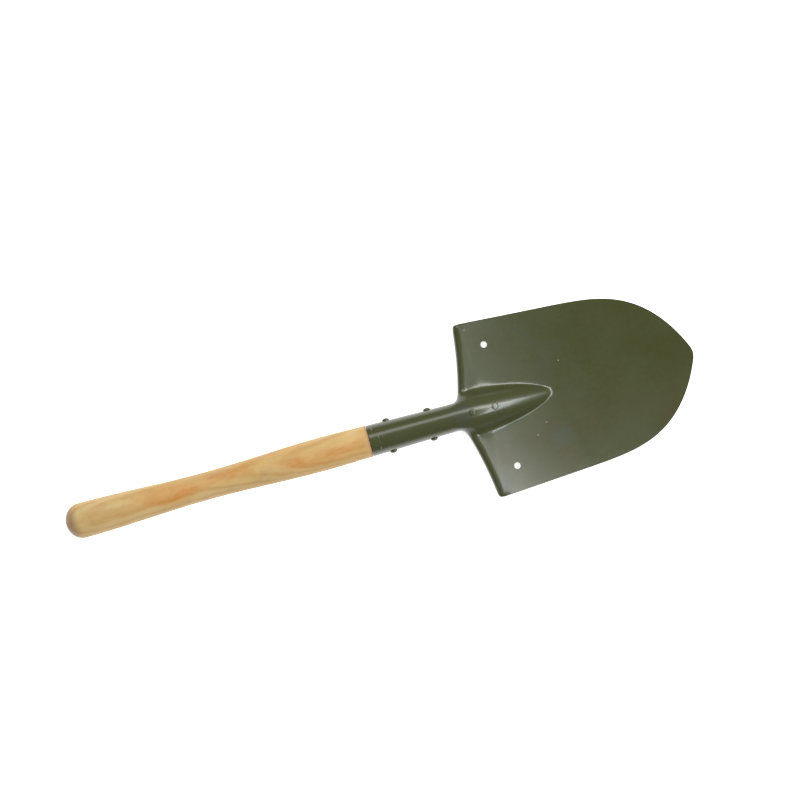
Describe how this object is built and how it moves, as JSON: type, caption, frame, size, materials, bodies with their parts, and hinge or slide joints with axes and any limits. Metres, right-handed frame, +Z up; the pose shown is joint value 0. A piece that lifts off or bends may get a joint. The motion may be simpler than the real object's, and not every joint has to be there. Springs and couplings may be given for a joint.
{
  "type": "camp shovel",
  "caption": "Short-handled camp shovel: dished, pointed steel blade with turned-back shoulders, ridged neck wrapping a turned wooden handle, and a riveted back strap.",
  "frame": {"origin": "on the ground under the middle of the shovel as it lies on its back", "axes": "+X from the end of the grip to the point of the blade, +Y across the blade, +Z up out of the hollow front face"},
  "size_m": [0.5, 0.1374, 0.0272],
  "materials": {
    "olive_paint": "satin olive-drab enamel over sheet steel, lightly scuffed",
    "rivet_paint": "satin olive-drab enamel over steel rivets, worn bright on the heads",
    "handle_wood": "turned pale hardwood, lightly sealed"
  },
  "bodies": {
    "root": {"blade": "olive_paint", "back_strap": "olive_paint", "handle": "handle_wood", "cross_rivet_rear": "rivet_paint", "cross_rivet_front": "rivet_paint", "crest_rivet_rear": "rivet_paint", "crest_rivet_front": "rivet_paint"}
  },
  "joints": []
}
